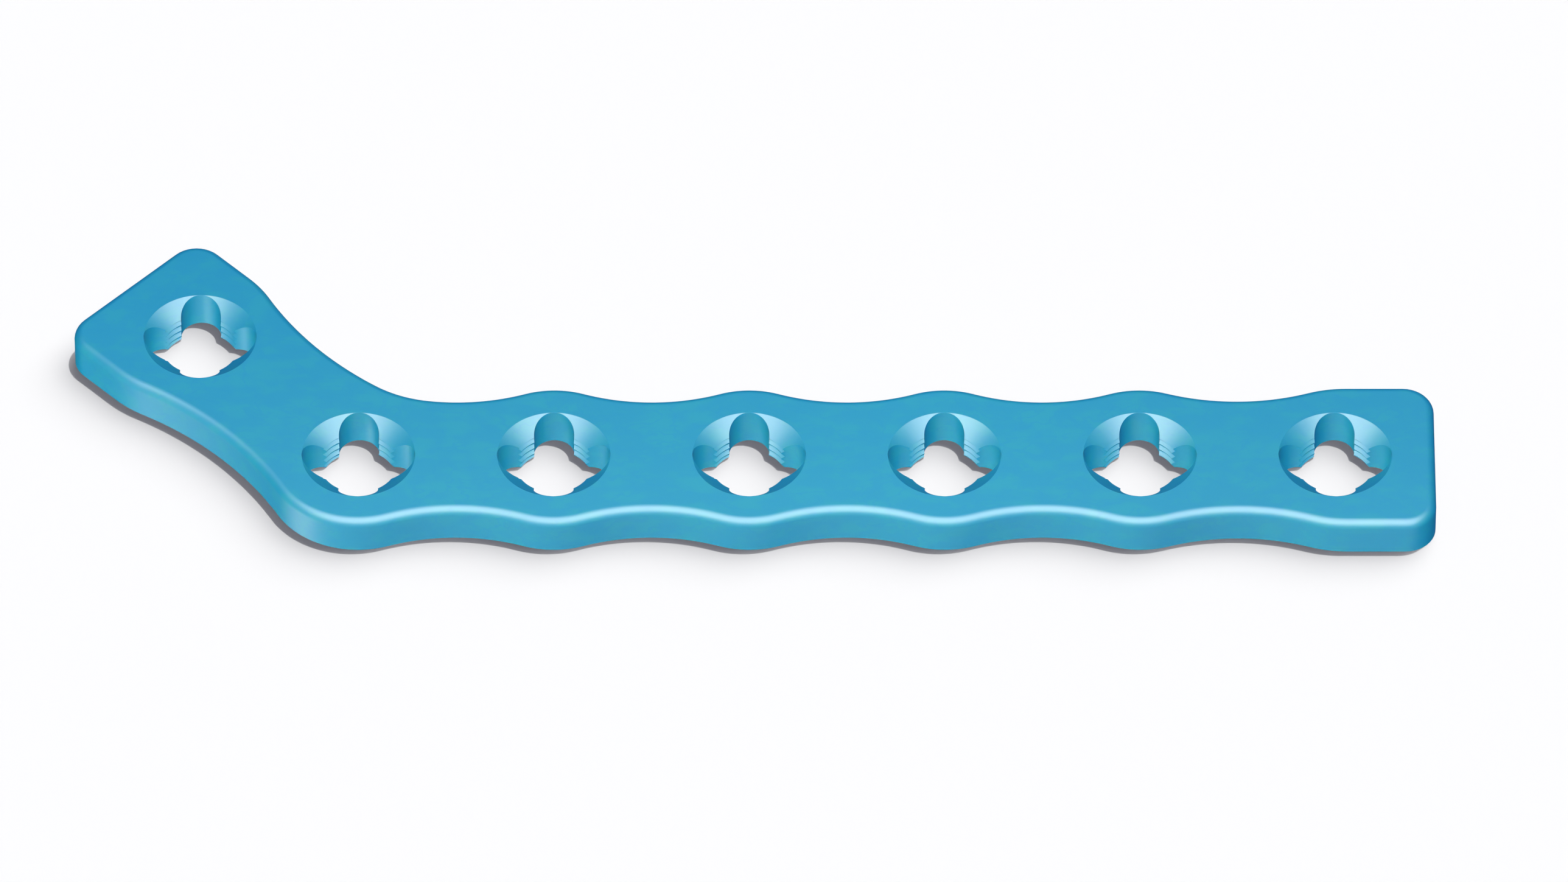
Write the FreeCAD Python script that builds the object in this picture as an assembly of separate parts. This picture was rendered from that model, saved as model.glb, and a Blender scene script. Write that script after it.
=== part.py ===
import FreeCAD, Part
import math
import os

from FreeCAD import Vector

# Bone plate lying flat. The frame starts at the corner hole, on the underside.
# +X runs along the shaft to its square end, +Z comes out of the top face. Millimetres.

# The slab
thickness = 2.5
top_edge_round = 0.55

# Where the holes stand
hole_pitch = 12.0
shaft_holes = 6
arm_hole_distance = 14.0
arm_angle = 135.0

# Plan of the edge: bulges about the holes, hollow waists between them
bulge_radius = 5.66
waist_depth = 1.01
last_waist_depth = 0.94
arm_waist_from_corner = 7.4
end_half_width = 5.8
end_beyond_hole = 6.13
arm_end_beyond_hole = 6.3
end_corner_radius = 1.9
shoulder_radius = 7.5
inner_corner_radius = 7.4

# One locking hole
rim_radius = 3.48
throat_radius = 2.32
cone_depth = 0.92
lobe_count = 4
lobe_radius = 1.24
lobe_offset = 2.25

# Thread groove in the throat, with a steep flank above its root and a flatter one below
thread_pitch = 0.5
thread_crest_flat = 0.05
groove_depth = 0.21
groove_below_root = 0.15
groove_root_height = 0.405
groove_bite = 0.02
turns_below = 2

# How far a cutting body reaches past the face it cuts
overshoot = 1.0

# Closer than this counts as touching
touch = 0.001


def flat(along, across):
    return Vector(along, across, 0)


def turned(point, angle):
    turn = math.radians(angle)
    return flat(
        point.x * math.cos(turn) - point.y * math.sin(turn),
        point.x * math.sin(turn) + point.y * math.cos(turn),
    )


def waist(start, middle, depth, side):
    # Hollow circle that just touches the bulge at start and is deepest at middle.
    reach = middle - start
    radius = (reach ** 2 + depth ** 2) / (2 * depth) - bulge_radius
    return (flat(middle, side * (bulge_radius - depth + radius)), -radius)


def shoulder(hollow, side):
    # Round that just touches the hollow circle and runs out level with the end section.
    centre, radius = hollow
    lift = abs(centre.y) - end_half_width + shoulder_radius
    span = shoulder_radius - radius
    run = math.sqrt(max(span ** 2 - lift ** 2, 0))
    return (flat(centre.x + run, side * (end_half_width - shoulder_radius)), shoulder_radius)


def end_corner(tip, side):
    return (flat(tip - end_corner_radius, side * (end_half_width - end_corner_radius)), end_corner_radius)


def end_section(hollow, tip, side):
    return [hollow, shoulder(hollow, side), end_corner(tip, side)]


def turned_circles(circles, angle):
    return [(turned(centre, angle), radius) for centre, radius in circles]


def inner_corner(first, second):
    # Round nested inside two hollow circles, touching both.
    reach_first = -first[1] - inner_corner_radius
    reach_second = -second[1] - inner_corner_radius
    gap = second[0] - first[0]
    along = (gap.Length ** 2 + reach_first ** 2 - reach_second ** 2) / (2 * gap.Length)
    across = math.sqrt(max(reach_first ** 2 - along ** 2, 0))
    step = gap * (1 / gap.Length)
    centre = first[0] + step * along + flat(-step.y, step.x) * across
    return (centre, -inner_corner_radius)


def join(first, second):
    # Straight line that touches both circles; its length is nothing where they meet.
    gap = second[0] - first[0]
    rise = second[1] - first[1]
    apart = gap.Length ** 2 - rise ** 2
    run = math.sqrt(apart) if apart > touch ** 2 else 0
    step = gap * (1 / gap.Length)
    inward = (flat(-step.y, step.x) * run + step * rise) * (1 / gap.Length)
    return first[0] - inward * first[1], second[0] - inward * second[1]


def arc_about(centre, start, end):
    middle = (start - centre) + (end - centre)
    middle.normalize()
    return Part.Arc(start, centre + middle * (start - centre).Length, end).toShape()


def outline_face():
    # The edge is a ring of circles, walked with the plate on the left.
    # A radius above nothing is a bulge, one below nothing is a hollow.
    last_hole = hole_pitch * (shaft_holes - 1)
    outer = []
    inner = []
    for index in range(shaft_holes - 2):
        hole_at = hole_pitch * index
        outer.append((flat(hole_at, 0), bulge_radius))
        outer.append(waist(hole_at, hole_at + hole_pitch / 2, waist_depth, -1))
        inner.insert(0, waist(hole_at, hole_at + hole_pitch / 2, waist_depth, 1))
        inner.insert(0, (flat(hole_at + hole_pitch, 0), bulge_radius))
    outer.append((flat(last_hole - hole_pitch, 0), bulge_radius))

    before_end = last_hole - hole_pitch
    middle = last_hole - hole_pitch / 2
    tip = last_hole + end_beyond_hole
    ends = []
    for side in (-1, 1):
        ends.append(end_section(waist(before_end, middle, last_waist_depth, side), tip, side))
    outer = outer + ends[0]
    inner = ends[1][::-1] + inner

    arm_tip = arm_hole_distance + arm_end_beyond_hole
    arms = []
    for side in (-1, 1):
        hollow = waist(0, arm_waist_from_corner, waist_depth, side)
        arms.append(turned_circles(end_section(hollow, arm_tip, side), arm_angle))
    corner = inner_corner(arms[0][0], inner[-1])

    ring = outer + inner + [corner] + arms[0] + arms[1][::-1]
    joins = [join(ring[index], ring[(index + 1) % len(ring)]) for index in range(len(ring))]
    edges = []
    for index, (centre, radius) in enumerate(ring):
        start = joins[index - 1][1]
        end, onward = joins[index]
        edges.append(arc_about(centre, start, end))
        if (onward - end).Length > touch:
            edges.append(Part.LineSegment(end, onward).toShape())
    return Part.Face(Part.Wire(Part.__sortEdges__(edges)))


def rounded_slab():
    slab = outline_face().extrude(Vector(0, 0, thickness))
    rim = []
    for edge in slab.Edges:
        if all(abs(vertex.Z - thickness) < touch for vertex in edge.Vertexes):
            rim.append(edge)
    return slab.makeFillet(top_edge_round, rim)


def throat_and_cone():
    slope = (rim_radius - throat_radius) / cone_depth
    top = thickness + overshoot
    points = [
        Vector(0, 0, -overshoot),
        Vector(throat_radius, 0, -overshoot),
        Vector(throat_radius, 0, thickness - cone_depth),
        Vector(rim_radius + slope * overshoot, 0, top),
        Vector(0, 0, top),
    ]
    profile = Part.Face(Part.makePolygon(points + points[:1]))
    return profile.revolve(Vector(0, 0, 0), Vector(0, 0, 1), 360)


def thread_groove():
    # Right-hand helix. The groove reaches a little inside the throat wall, so that it cuts it cleanly.
    bottom = groove_root_height - thread_pitch * turns_below
    turns = math.ceil((thickness - bottom) / thread_pitch)
    helix = Part.makeHelix(thread_pitch, thread_pitch * turns, throat_radius)
    helix.translate(Vector(0, 0, bottom))
    widening = (groove_depth + groove_bite) / groove_depth
    groove_above_root = thread_pitch - thread_crest_flat - groove_below_root
    points = [
        Vector(throat_radius - groove_bite, 0, bottom - groove_below_root * widening),
        Vector(throat_radius + groove_depth, 0, bottom),
        Vector(throat_radius - groove_bite, 0, bottom + groove_above_root * widening),
    ]
    profile = Part.makePolygon(points + points[:1])
    return Part.Wire(helix.Edges).makePipeShell([profile], True, True)


def hole_cutter():
    cutter = throat_and_cone().fuse(thread_groove())
    lobes = []
    for index in range(lobe_count):
        place = turned(flat(lobe_offset, 0), 360 / lobe_count * index)
        place.z = -overshoot
        lobes.append(Part.makeCylinder(lobe_radius, thickness + 2 * overshoot, place))
    return cutter.fuse(lobes)


def hole_places():
    places = [flat(hole_pitch * index, 0) for index in range(shaft_holes)]
    places.append(turned(flat(arm_hole_distance, 0), arm_angle))
    return places


def bone_plate():
    cutter = hole_cutter()
    plate = rounded_slab()
    for place in hole_places():
        plate = plate.cut(cutter.translated(place))
    return plate


os.makedirs("parts", exist_ok=True)
plate = bone_plate()
plate.exportStep("parts/bone_plate.step")
print("bone_plate solids", len(plate.Solids), "faces", len(plate.Faces), "valid", plate.isValid())
print("volume", round(plate.Volume, 2), "box", plate.BoundBox)
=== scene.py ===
import math

import bpy
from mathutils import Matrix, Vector


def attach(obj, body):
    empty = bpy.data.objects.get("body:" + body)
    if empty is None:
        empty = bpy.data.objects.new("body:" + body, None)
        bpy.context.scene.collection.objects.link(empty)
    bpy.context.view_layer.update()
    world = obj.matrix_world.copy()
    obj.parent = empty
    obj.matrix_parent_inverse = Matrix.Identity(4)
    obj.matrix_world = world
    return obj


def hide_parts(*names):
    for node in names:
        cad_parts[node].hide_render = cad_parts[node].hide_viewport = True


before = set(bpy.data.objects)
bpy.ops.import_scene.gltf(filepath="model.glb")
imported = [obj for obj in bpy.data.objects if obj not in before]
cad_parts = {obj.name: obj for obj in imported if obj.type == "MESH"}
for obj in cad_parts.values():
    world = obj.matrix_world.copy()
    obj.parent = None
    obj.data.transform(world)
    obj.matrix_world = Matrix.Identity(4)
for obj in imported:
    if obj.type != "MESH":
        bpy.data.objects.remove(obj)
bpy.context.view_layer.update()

scene = bpy.context.scene
mm = 0.001


# Camera

cameraSetup = {
    "lens": 503.1,                        # mm, as are the next two
    "sensor": 36.0,
    "place": (26.14, -912.025, 992.062),
    "tilt": 42.7,                         # degrees up from looking straight down
    "nearest": 0.01,                      # metres
    "furthest": 100.0,
}


def makeCamera(setup):
    data = bpy.data.cameras.new("photoCamera")
    data.lens = setup["lens"]
    data.sensor_width = setup["sensor"]
    data.sensor_fit = "HORIZONTAL"
    data.clip_start = setup["nearest"]
    data.clip_end = setup["furthest"]
    camera = bpy.data.objects.new("photoCamera", data)
    camera.location = Vector(setup["place"]) * mm
    camera.rotation_euler = (math.radians(setup["tilt"]), 0, 0)
    scene.collection.objects.link(camera)
    scene.camera = camera


makeCamera(cameraSetup)
print("camera set")


# The plate's edge: a ring of round bulges and hollows that touch one another

plate = {
    "thickness": 2.5,          # mm, as are all lengths here
    "edgeRound": 0.55,         # of the top edge; the lower one is sharp
    "roundSteps": 10,
    "arcStep": 0.3,            # spacing of the points round the edge
    "fewestSteps": 2,          # in any one round
    "holePitch": 12.0,
    "shaftHoles": 6,
    "armDistance": 14.0,       # from the corner hole to the arm's hole
    "armAngle": 135.0,         # degrees from the shaft
    "bulge": 5.66,             # radius of the rounds about the holes
    "waistDepth": 1.01,
    "lastWaistDepth": 0.94,
    "armWaistAt": 7.4,         # from the corner hole
    "endHalfWidth": 5.8,
    "endBeyondHole": 6.13,
    "armEndBeyondHole": 6.3,
    "endCorner": 1.9,          # radius, as are the next two
    "shoulder": 7.5,
    "innerCorner": 7.4,
    "touch": 0.001,            # closer than this counts as touching
}


def turned(point, degrees):
    angle = math.radians(degrees)
    return Vector((point.x * math.cos(angle) - point.y * math.sin(angle),
                   point.x * math.sin(angle) + point.y * math.cos(angle)))


def sideways(step):
    return Vector((-step.y, step.x))


def hollowAt(start, middle, depth, side):
    # hollow that touches the bulge at start and is deepest at middle
    reach = middle - start
    radius = (reach ** 2 + depth ** 2) / (2 * depth) - plate["bulge"]
    return Vector((middle, side * (plate["bulge"] - depth + radius))), -radius


def endOf(hollow, tip, side):
    # hollow, then the shoulder that runs out level, then the corner at the tip
    centre, radius = hollow
    half, shoulder, corner = plate["endHalfWidth"], plate["shoulder"], plate["endCorner"]
    lift = abs(centre.y) - half + shoulder
    run = math.sqrt((shoulder - radius) ** 2 - lift ** 2)
    return [hollow,
            (Vector((centre.x + run, side * (half - shoulder))), shoulder),
            (Vector((tip - corner, side * (half - corner))), corner)]


def nestedCorner(first, second, radius):
    # hollow that touches two other hollows from inside
    near, far = -first[1] - radius, -second[1] - radius
    gap = second[0] - first[0]
    along = (gap.length ** 2 + near ** 2 - far ** 2) / (2 * gap.length)
    across = math.sqrt(near ** 2 - along ** 2)
    step = gap.normalized()
    return first[0] + step * along + sideways(step) * across, -radius


def ringOfRounds():
    pitch, holes, bulge = plate["holePitch"], plate["shaftHoles"], plate["bulge"]
    lastHole = pitch * (holes - 1)
    outer, inner = [], []
    for index in range(holes - 2):
        here, middle = pitch * index, pitch * (index + 0.5)
        outer += [(Vector((here, 0)), bulge), hollowAt(here, middle, plate["waistDepth"], -1)]
        inner = [(Vector((here + pitch, 0)), bulge), hollowAt(here, middle, plate["waistDepth"], 1)] + inner
    outer.append((Vector((lastHole - pitch, 0)), bulge))
    for side in (-1, 1):
        hollow = hollowAt(lastHole - pitch, lastHole - pitch / 2, plate["lastWaistDepth"], side)
        end = endOf(hollow, lastHole + plate["endBeyondHole"], side)
        outer, inner = (outer + end, inner) if side < 0 else (outer, end[::-1] + inner)
    arm = []
    for side in (-1, 1):
        hollow = hollowAt(0, plate["armWaistAt"], plate["waistDepth"], side)
        end = endOf(hollow, plate["armDistance"] + plate["armEndBeyondHole"], side)
        arm.append([(turned(centre, plate["armAngle"]), radius) for centre, radius in end])
    corner = nestedCorner(arm[0][0], inner[-1], plate["innerCorner"])
    return outer + inner + [corner] + arm[0] + arm[1][::-1]


def sharedLine(first, second):
    # the straight line, or the one point, where two rounds touch
    gap = second[0] - first[0]
    rise = second[1] - first[1]
    apart = gap.length ** 2 - rise ** 2
    run = math.sqrt(apart) if apart > plate["touch"] ** 2 else 0
    step = gap.normalized()
    inward = (sideways(step) * run + step * rise) / gap.length
    return first[0] - inward * first[1], second[0] - inward * second[1]


def edgePoints():
    # points round the edge, each with its outward direction
    ring = ringOfRounds()
    joins = [sharedLine(ring[index], ring[(index + 1) % len(ring)]) for index in range(len(ring))]
    points = []
    for index, (centre, radius) in enumerate(ring):
        before, after = joins[index - 1], joins[index]
        start, end = before[1] - centre, after[0] - centre
        sweep = math.atan2(start.x * end.y - start.y * end.x, start.dot(end))
        steps = max(plate["fewestSteps"], math.ceil(abs(sweep * radius) / plate["arcStep"]))
        first = 0 if (before[1] - before[0]).length > plate["touch"] else 1
        for count in range(first, steps + 1):
            arm = turned(start, math.degrees(sweep * count / steps))
            points.append((centre + arm, arm.normalized() * math.copysign(1, radius)))
    return points


def makeSlab():
    # a wall up to the rounded top edge, closed by one face below and one above
    edge = edgePoints()
    rounding, high = plate["edgeRound"], plate["thickness"]
    levels = [(0, 0)]          # inset and height
    for count in range(plate["roundSteps"] + 1):
        angle = math.pi / 2 * count / plate["roundSteps"]
        levels.append((rounding * (1 - math.cos(angle)), high - rounding * (1 - math.sin(angle))))
    vertices = []
    for inset, height in levels:
        for point, outward in edge:
            spot = point - outward * inset
            vertices.append((spot.x * mm, spot.y * mm, height * mm))
    count = len(edge)
    faces = [list(range(count))[::-1], [count * (len(levels) - 1) + index for index in range(count)]]
    for level in range(len(levels) - 1):
        for index in range(count):
            onward = (index + 1) % count
            faces.append((level * count + index, level * count + onward,
                          (level + 1) * count + onward, (level + 1) * count + index))
    mesh = bpy.data.meshes.new("dressedPlate")
    mesh.from_pydata(vertices, [], faces)
    piece = bpy.data.objects.new("dressedPlate", mesh)
    scene.collection.objects.link(piece)
    return piece


# Small helpers for node trees

def grow(tree, kind, inputs=None, **settings):
    node = tree.nodes.new(kind)
    for name, value in settings.items():
        setattr(node, name, value)
    for socket, value in (inputs or {}).items():
        feed(tree, node.inputs[socket], value)
    return node


def feed(tree, socket, value):
    if isinstance(value, bpy.types.NodeSocket):
        tree.links.new(value, socket)
    else:
        socket.default_value = value


def calc(tree, operation, *terms):
    return grow(tree, "ShaderNodeMath", dict(enumerate(terms)), operation=operation).outputs[0]


# Anodised titanium: a blue film, faintly mottled with teal, satin from the blasting beneath it

anodised = {
    "blue": (0.0, 0.330, 0.575),
    "teal": (0.005, 0.371, 0.551),
    "patches": {"Scale": 950, "Detail": 2.0, "Roughness": 0.5},     # scales count waves in a metre
    "stretch": (0.6, 1.0, 1.0),    # below 1 draws the patches out along the shaft
    "patchEdges": (0.39, 0.67),
    "patchFloor": 0.25,        # share of teal between the patches
    "wisps": {"Scale": 600, "Detail": 3.0, "Roughness": 0.6, "Distortion": 0.4},
    "wispWidth": 0.03,         # thin curling lines where the film is bluest
    "wispStrength": 0.8,
    "tones": {"Scale": 45, "Detail": 1.0},
    "toneSpread": (0.3, 0.7),
    "toneRange": (0.98, 1.02),     # slow change of the whole colour
    "satin": {"Scale": 9000, "Detail": 2.0},
    "satinDepth": 0.002,       # mm
    "satinStrength": 0.5,
    "roughness": (0.44, 0.48),
    "index": 1.8,              # of refraction, for the oxide film
}


def makeAnodised(finish):
    material = bpy.data.materials.new("anodisedTitanium")
    material.use_nodes = True
    tree = material.node_tree
    tree.nodes.clear()
    place = grow(tree, "ShaderNodeTexCoord").outputs["Object"]
    spread = grow(tree, "ShaderNodeMapping", {"Vector": place, "Scale": finish["stretch"]}).outputs[0]
    patches = grow(tree, "ShaderNodeTexNoise", {"Vector": spread, **finish["patches"]})
    wisps = grow(tree, "ShaderNodeTexNoise", {"Vector": spread, **finish["wisps"]})
    tones = grow(tree, "ShaderNodeTexNoise", {"Vector": place, **finish["tones"]})
    satin = grow(tree, "ShaderNodeTexNoise", {"Vector": place, **finish["satin"]})

    patchLow, patchHigh = finish["patchEdges"]
    patch = grow(tree, "ShaderNodeMapRange",
                 {"Value": patches.outputs["Fac"], "From Min": patchLow, "From Max": patchHigh,
                  "To Min": finish["patchFloor"]}, interpolation_type="SMOOTHSTEP")
    offLine = calc(tree, "ABSOLUTE", calc(tree, "SUBTRACT", wisps.outputs["Fac"], 0.5))
    wisp = grow(tree, "ShaderNodeMapRange",
                {"Value": offLine, "From Max": finish["wispWidth"], "To Min": 1.0 - finish["wispStrength"]})
    share = calc(tree, "MULTIPLY", patch.outputs[0], wisp.outputs[0])
    film = grow(tree, "ShaderNodeMix", {"Factor": share}, data_type="RGBA")
    film.inputs["A"].default_value = (*finish["blue"], 1)
    film.inputs["B"].default_value = (*finish["teal"], 1)

    toneLow, toneHigh = finish["toneSpread"]
    tone = grow(tree, "ShaderNodeMapRange",
                {"Value": tones.outputs["Fac"], "From Min": toneLow, "From Max": toneHigh,
                 "To Min": finish["toneRange"][0], "To Max": finish["toneRange"][1]})
    shade = grow(tree, "ShaderNodeVectorMath", {0: film.outputs["Result"], "Scale": tone.outputs[0]},
                 operation="SCALE")
    rough = grow(tree, "ShaderNodeMapRange",
                 {"Value": satin.outputs["Fac"], "To Min": finish["roughness"][0],
                  "To Max": finish["roughness"][1]})
    bump = grow(tree, "ShaderNodeBump",
                {"Height": satin.outputs["Fac"], "Distance": finish["satinDepth"] * mm,
                 "Strength": finish["satinStrength"]})
    surface = grow(tree, "ShaderNodeBsdfPrincipled",
                   {"Base Color": shade.outputs[0], "Roughness": rough.outputs[0],
                    "Normal": bump.outputs[0], "Metallic": 0.0, "IOR": finish["index"]})
    grow(tree, "ShaderNodeOutputMaterial", {"Surface": surface.outputs[0]})
    return material


# The locking holes: cone, threaded throat and four upright lobes, cut out by one node tree

hole = {
    "Rim Radius": 3.48,        # mm, as are all lengths here
    "Throat Radius": 2.32,
    "Cone Depth": 0.92,
    "Lobe Radius": 1.24,
    "Lobe Offset": 2.25,
    "Thread Pitch": 0.5,
    "Groove Depth": 0.21,
    "Flank Above Root": 0.30,  # height of the groove above its deepest line
    "Crest Flat": 0.05,
    "Root Height": 0.405,
    "Overshoot": 0.4,          # how far the cutting forms stand past the plate
}
holeCounts = {"Shaft Holes": plate["shaftHoles"], "Lobes": 4, "Round Steps": 120, "Lobe Steps": 64}
thread = {
    "rowsInTurn": 3,           # the groove's root, the start of the crest and its end
    "rowsBeyond": 3,           # a cap at either end, and the root that ends the last turn
    "turns": 7,
    "turnsBelow": 3,           # turns that start below the root height
    "weld": 0.001,             # mm, closer points become one
    "level": 0.0001,           # mm, closer heights are the same
}
cut = {
    "solver": "MANIFOLD",
    "crispAngle": 25,          # degrees; sharper edges stay crisp
    "flatWeight": 100,         # large faces keep their normals
}


def threadForm(tree, size):
    # A grid becomes the threaded bore. Its rows follow the helix; the first and last close on the axis.
    rowsInTurn = thread["rowsInTurn"]
    rows = thread["turns"] * rowsInTurn + thread["rowsBeyond"]
    steps = calc(tree, "ADD", size["Round Steps"], 1)
    grid = grow(tree, "GeometryNodeMeshGrid",
                {"Size X": 1.0, "Size Y": 1.0, "Vertices X": steps, "Vertices Y": rows})
    place = grow(tree, "ShaderNodeSeparateXYZ", {0: grow(tree, "GeometryNodeInputPosition").outputs[0]})
    around = calc(tree, "ADD", place.outputs["X"], 0.5)
    upwards = calc(tree, "MULTIPLY", calc(tree, "ADD", place.outputs["Y"], 0.5), rows - 1)
    row = calc(tree, "ROUND", calc(tree, "SUBTRACT", upwards, 1))        # -1 is the lower cap
    turn = calc(tree, "FLOOR", calc(tree, "DIVIDE", row, rowsInTurn))
    part = calc(tree, "SUBTRACT", row, calc(tree, "MULTIPLY", turn, rowsInTurn))
    isRoot = calc(tree, "LESS_THAN", part, 0.5)
    pastCrest = calc(tree, "GREATER_THAN", part, 1.5)

    flank = calc(tree, "MULTIPLY", calc(tree, "SUBTRACT", 1.0, isRoot), size["Flank Above Root"])
    lift = calc(tree, "ADD", flank, calc(tree, "MULTIPLY", pastCrest, size["Crest Flat"]))
    turnsUp = calc(tree, "ADD", calc(tree, "SUBTRACT", turn, thread["turnsBelow"]), around)
    climb = calc(tree, "MULTIPLY", turnsUp, size["Thread Pitch"])
    height = calc(tree, "ADD", calc(tree, "ADD", size["Root Height"], climb), lift)
    low = calc(tree, "MULTIPLY", size["Overshoot"], -1.0)
    throatTop = calc(tree, "SUBTRACT", size["Thickness"], size["Cone Depth"])
    high = calc(tree, "ADD", throatTop, size["Thread Pitch"])
    kept = calc(tree, "MINIMUM", calc(tree, "MAXIMUM", height, low), high)

    inside = calc(tree, "COMPARE", kept, height, thread["level"] * mm)
    groove = calc(tree, "MULTIPLY", calc(tree, "MULTIPLY", isRoot, inside), size["Groove Depth"])
    wall = calc(tree, "ADD", size["Throat Radius"], groove)
    aboveFirst = calc(tree, "GREATER_THAN", row, -0.5)
    belowLast = calc(tree, "LESS_THAN", row, rows - 2.5)
    radius = calc(tree, "MULTIPLY", wall, calc(tree, "MULTIPLY", aboveFirst, belowLast))
    angle = calc(tree, "MULTIPLY", around, 2 * math.pi)
    spot = grow(tree, "ShaderNodeCombineXYZ",
                {"X": calc(tree, "MULTIPLY", radius, calc(tree, "COSINE", angle)),
                 "Y": calc(tree, "MULTIPLY", radius, calc(tree, "SINE", angle)), "Z": kept})
    shaped = grow(tree, "GeometryNodeSetPosition",
                  {"Geometry": grid.outputs["Mesh"], "Position": spot.outputs[0]})
    return grow(tree, "GeometryNodeMergeByDistance",
                {"Geometry": shaped.outputs[0], "Distance": thread["weld"] * mm}).outputs[0]


def coneForm(tree, size):
    # it starts inside the throat and ends above the plate, on the same slope
    throatTop = calc(tree, "SUBTRACT", size["Thickness"], size["Cone Depth"])
    opening = calc(tree, "SUBTRACT", size["Rim Radius"], size["Throat Radius"])
    spread = calc(tree, "MULTIPLY", calc(tree, "DIVIDE", opening, size["Cone Depth"]), size["Overshoot"])
    tall = calc(tree, "ADD", size["Cone Depth"], calc(tree, "MULTIPLY", size["Overshoot"], 2.0))
    cone = grow(tree, "GeometryNodeMeshCone",
                {"Vertices": size["Round Steps"],
                 "Radius Top": calc(tree, "ADD", size["Rim Radius"], spread),
                 "Radius Bottom": calc(tree, "SUBTRACT", size["Throat Radius"], spread),
                 "Depth": tall})
    lift = grow(tree, "ShaderNodeCombineXYZ", {"Z": calc(tree, "SUBTRACT", throatTop, size["Overshoot"])})
    return grow(tree, "GeometryNodeTransform",
                {"Geometry": cone.outputs["Mesh"], "Translation": lift.outputs[0]}).outputs[0]


def lobeForms(tree, size):
    tall = calc(tree, "ADD", size["Thickness"], calc(tree, "MULTIPLY", size["Overshoot"], 2.0))
    lobe = grow(tree, "GeometryNodeMeshCylinder",
                {"Vertices": size["Lobe Steps"], "Radius": size["Lobe Radius"], "Depth": tall})
    lift = grow(tree, "ShaderNodeCombineXYZ", {"Z": calc(tree, "MULTIPLY", size["Thickness"], 0.5)})
    raised = grow(tree, "GeometryNodeTransform",
                  {"Geometry": lobe.outputs["Mesh"], "Translation": lift.outputs[0]})
    places = grow(tree, "GeometryNodeMeshCircle", {"Vertices": size["Lobes"], "Radius": size["Lobe Offset"]})
    lobes = grow(tree, "GeometryNodeInstanceOnPoints",
                 {"Points": places.outputs["Mesh"], "Instance": raised.outputs[0]})
    return grow(tree, "GeometryNodeRealizeInstances", {"Geometry": lobes.outputs[0]}).outputs[0]


def holePlaces(tree, size):
    # a row of points along the shaft and one on the arm
    step = grow(tree, "ShaderNodeCombineXYZ", {"X": size["Hole Pitch"]})
    shaft = grow(tree, "GeometryNodeMeshLine", {"Count": size["Shaft Holes"], "Offset": step.outputs[0]})
    out = grow(tree, "ShaderNodeCombineXYZ",
               {"X": calc(tree, "MULTIPLY", size["Arm Distance"], calc(tree, "COSINE", size["Arm Angle"])),
                "Y": calc(tree, "MULTIPLY", size["Arm Distance"], calc(tree, "SINE", size["Arm Angle"]))})
    arm = grow(tree, "GeometryNodeMeshLine", {"Count": 1, "Start Location": out.outputs[0]})
    joined = grow(tree, "GeometryNodeJoinGeometry")
    for line in (shaft, arm):
        tree.links.new(line.outputs["Mesh"], joined.inputs[0])
    return joined.outputs[0]


def holeTree(values, counts, material):
    tree = bpy.data.node_groups.new("lockingHoles", "GeometryNodeTree")
    face = tree.interface
    face.new_socket("Geometry", in_out="INPUT", socket_type="NodeSocketGeometry")
    for name in values:
        face.new_socket(name, in_out="INPUT", socket_type="NodeSocketFloat")
    for name in counts:
        face.new_socket(name, in_out="INPUT", socket_type="NodeSocketInt")
    face.new_socket("Geometry", in_out="OUTPUT", socket_type="NodeSocketGeometry")
    size = grow(tree, "NodeGroupInput").outputs

    cutter = grow(tree, "GeometryNodeMeshBoolean", operation="UNION", solver=cut["solver"])
    for form in (threadForm(tree, size), coneForm(tree, size), lobeForms(tree, size)):
        tree.links.new(form, cutter.inputs["Mesh 2"])
    cutters = grow(tree, "GeometryNodeInstanceOnPoints",
                   {"Points": holePlaces(tree, size), "Instance": cutter.outputs["Mesh"]})
    solid = grow(tree, "GeometryNodeRealizeInstances", {"Geometry": cutters.outputs[0]})
    drilled = grow(tree, "GeometryNodeMeshBoolean",
                   {"Mesh 1": size["Geometry"], "Mesh 2": solid.outputs[0]},
                   operation="DIFFERENCE", solver=cut["solver"])

    bend = grow(tree, "GeometryNodeInputMeshEdgeAngle").outputs["Unsigned Angle"]
    gentle = calc(tree, "LESS_THAN", bend, math.radians(cut["crispAngle"]))
    smooth = grow(tree, "GeometryNodeSetShadeSmooth",
                  {"Geometry": drilled.outputs["Mesh"], "Shade Smooth": True})
    crisp = grow(tree, "GeometryNodeSetShadeSmooth",
                 {"Geometry": smooth.outputs[0], "Shade Smooth": gentle}, domain="EDGE")
    real = grow(tree, "GeometryNodeRealizeInstances", {"Geometry": crisp.outputs[0]})
    painted = grow(tree, "GeometryNodeSetMaterial", {"Geometry": real.outputs[0], "Material": material})
    grow(tree, "NodeGroupOutput", {"Geometry": painted.outputs[0]})
    return tree


def cutHoles(piece, values, counts, material):
    tree = holeTree(values, counts, material)
    holes = piece.modifiers.new("lockingHoles", "NODES")
    holes.node_group = tree
    settings = {**values, **counts}
    for socket in tree.interface.items_tree:
        if socket.in_out == "INPUT" and socket.name in settings:
            holes[socket.identifier] = settings[socket.name]
    even = piece.modifiers.new("evenNormals", "WEIGHTED_NORMAL")
    even.keep_sharp = True
    even.weight = cut["flatWeight"]
    bpy.context.view_layer.update()
    evaluated = piece.evaluated_get(bpy.context.evaluated_depsgraph_get())
    made = bpy.data.meshes.new_from_object(evaluated)
    piece.modifiers.clear()
    old = piece.data
    piece.data = made
    made.name = "dressedPlate"
    bpy.data.meshes.remove(old)


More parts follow.
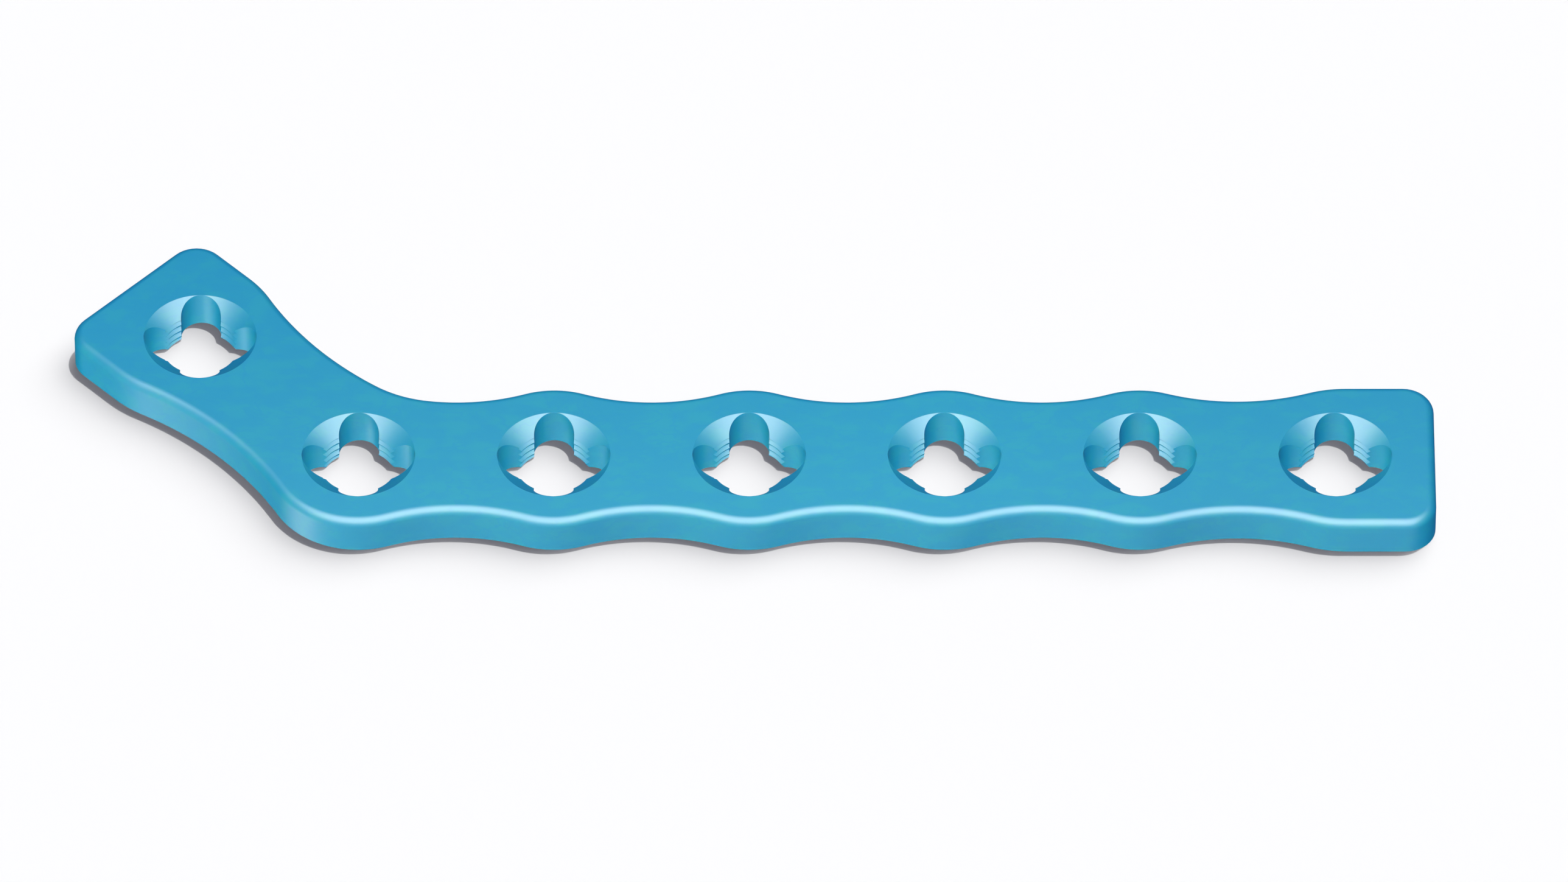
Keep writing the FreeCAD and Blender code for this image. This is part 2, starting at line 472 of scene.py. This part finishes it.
anodisedTitanium = makeAnodised(anodised)
dressedPlate = makeSlab()
sizes = {name: value * mm for name, value in hole.items()}
sizes.update({"Thickness": plate["thickness"] * mm, "Hole Pitch": plate["holePitch"] * mm,
              "Arm Distance": plate["armDistance"] * mm, "Arm Angle": math.radians(plate["armAngle"])})
cutHoles(dressedPlate, sizes, holeCounts, anodisedTitanium)
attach(dressedPlate, "root")
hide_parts("bone_plate")
print("plate cut:", len(dressedPlate.data.vertices), "points,", len(dressedPlate.data.polygons), "faces")


# Floor

floorSetup = {
    "half": 20.0,              # metres from the middle to each side
    "below": 0.01,             # mm under the plate
    "colour": (0.97, 0.97, 0.98),
}


def makeFloor(setup):
    # a sheet just under the plate that is seen from above only
    half, low = setup["half"], -setup["below"] * mm
    corners = [(-half, -half, low), (half, -half, low), (half, half, low), (-half, half, low)]
    mesh = bpy.data.meshes.new("studioFloor")
    mesh.from_pydata(corners, [], [(0, 1, 2, 3)])
    floor = bpy.data.objects.new("studioFloor", mesh)
    scene.collection.objects.link(floor)
    material = bpy.data.materials.new("studioWhite")
    material.use_nodes = True
    tree = material.node_tree
    surface = tree.nodes["Principled BSDF"]
    surface.inputs["Base Color"].default_value = (*setup["colour"], 1)
    surface.inputs["Roughness"].default_value = 1.0
    surface.inputs["Specular IOR Level"].default_value = 0.0
    fromBelow = grow(tree, "ShaderNodeNewGeometry").outputs["Backfacing"]
    clear = grow(tree, "ShaderNodeBsdfTransparent").outputs[0]
    sheet = grow(tree, "ShaderNodeMixShader", {0: fromBelow, 1: surface.outputs[0], 2: clear})
    tree.links.new(sheet.outputs[0], tree.nodes["Material Output"].inputs["Surface"])
    mesh.materials.append(material)
    floor.visible_diffuse = False
    floor.visible_glossy = False
    return floor


studioFloor = makeFloor(floorSetup)


# Lights

# Strengths are watts for the lamps with a size or a radius, and a sun's strength for those with a width
# in degrees. "at", sizes and radii are in mm, and "from" points from the plate to the lamp. "only" names
# the one thing a lamp lights, and "past" what doesn't shade it.
plainFill = {"only": "plate", "gloss": False, "shadow": False, "bounces": 0}
gleam = {"only": "plate", "diffuse": False, "bounces": 0}
lights = {
    "sunStrip": {"strength": 1.37, "width": 1.2, "from": (0.2, 0.18, 1.0), "colour": (1.0, 1.0, 0.98),
                 "only": "floor"},
    "backSoft": {"strength": 1.68, "width": 60.0, "from": (0.50, 0.50, 0.95), "colour": (1.0, 1.0, 0.98),
                 "only": "floor"},
    "floorFill": {"strength": 0.51, "width": 178.0, "from": (0.0, 0.0, 1.0), "colour": (0.88, 0.88, 1.0),
                  "only": "floor", "shadow": False},
    "topFill": {"strength": 1.79, "width": 178.0, "from": (0.0, 0.0, 1.0), "colour": (0.42, 0.42, 1.0),
                **plainFill},
    "underFill": {"strength": 1.79, "width": 122.0, "from": (0.0, 0.0, -1.0), "colour": (0.42, 0.42, 1.0),
                  **plainFill},
    "nearFill": {"strength": 0.0905, "size": (175.0, 113.0), "at": (24.8, -37.2, 73.8),
                 "from": (0.0, -0.506, 0.863), "colour": (1.0, 1.0, 0.52), **plainFill},
    "frontFill": {"strength": 1.23, "width": 10.0, "from": (0.0, -0.940, 0.342), "colour": (1.0, 1.0, 0.80),
                  **plainFill},
    "backFill": {"strength": 0.48, "width": 10.0, "from": (0.0, 0.985, 0.174), "colour": (1.0, 1.0, 1.0),
                 **plainFill},
    "leftFill": {"strength": 1.00, "width": 10.0, "from": (-0.853, -0.150, -0.500),
                 "colour": (1.0, 1.0, 0.60), **plainFill},
    "frontGleam": {"strength": 0.437, "size": (188.0, 117.0), "at": (25.4, -38.1, 74.2),
                   "from": (0.0, -0.512, 0.859), "colour": (1.0, 1.0, 1.0), **gleam},
    "lowGleam": {"strength": 1.03, "width": 120.0, "from": (-0.324, -0.899, -0.294),
                 "colour": (1.0, 1.0, 1.0), **gleam, "past": "floor"},
    "armGlint": {"strength": 0.0088, "radius": 8.0, "at": (-26.0, -12.0, -19.0),
                 "colour": (1.0, 1.0, 0.9), "only": "plate", "bounces": 0, "past": "floor"},
}
plainBounces = 8
sky = {"strength": 0.03, "colour": (0.88, 0.88, 1.0)}


def lampData(name, lamp):
    if "size" in lamp:
        data = bpy.data.lights.new(name, "AREA")
        data.shape = "RECTANGLE"
        data.size, data.size_y = (side * mm for side in lamp["size"])
    elif "radius" in lamp:
        data = bpy.data.lights.new(name, "POINT")
        data.shadow_soft_size = lamp["radius"] * mm
    else:
        data = bpy.data.lights.new(name, "SUN")
        data.angle = math.radians(lamp["width"])
    return data


def makeSky(setup):
    # pale light on everything, and plain white where the camera looks past the floor
    world = bpy.data.worlds.new("paleSky")
    scene.world = world
    world.use_nodes = True
    tree = world.node_tree
    dome = tree.nodes["Background"]
    dome.inputs["Strength"].default_value = setup["strength"]
    dome.inputs["Color"].default_value = (*setup["colour"], 1)
    white = grow(tree, "ShaderNodeBackground", {"Color": (1, 1, 1, 1), "Strength": 1.0})
    seen = grow(tree, "ShaderNodeLightPath").outputs["Is Camera Ray"]
    both = grow(tree, "ShaderNodeMixShader", {0: seen, 1: dome.outputs[0], 2: white.outputs[0]})
    tree.links.new(both.outputs[0], tree.nodes["World Output"].inputs["Surface"])
    world.cycles_visibility.glossy = False


def makeLights(setup):
    groups = {}
    for name, thing in (("floor", studioFloor), ("plate", dressedPlate)):
        groups[name] = bpy.data.collections.new(name + "Lit")
        groups[name].objects.link(thing)
    for name, lamp in setup.items():
        data = lampData(name, lamp)
        data.energy = lamp["strength"]
        data.color = lamp["colour"]
        data.cycles.max_bounces = lamp.get("bounces", plainBounces)
        data.cycles.use_multiple_importance_sampling = False
        data.use_shadow = lamp.get("shadow", True)
        holder = bpy.data.objects.new(name, data)
        if "from" in lamp:
            holder.rotation_mode = "QUATERNION"
            holder.rotation_quaternion = Vector(lamp["from"]).to_track_quat("Z", "Y")
        holder.location = Vector(lamp["at"]) * mm if "at" in lamp else Vector(lamp["from"])
        holder.visible_camera = False
        holder.visible_glossy = lamp.get("gloss", True)
        holder.visible_diffuse = lamp.get("diffuse", True)
        scene.collection.objects.link(holder)
        holder.light_linking.receiver_collection = groups[lamp["only"]]
        if "past" in lamp:
            holder.light_linking.blocker_collection = groups["plate"]


makeSky(sky)
makeLights(lights)
scene.view_settings.view_transform = "Standard"
print("lights set")
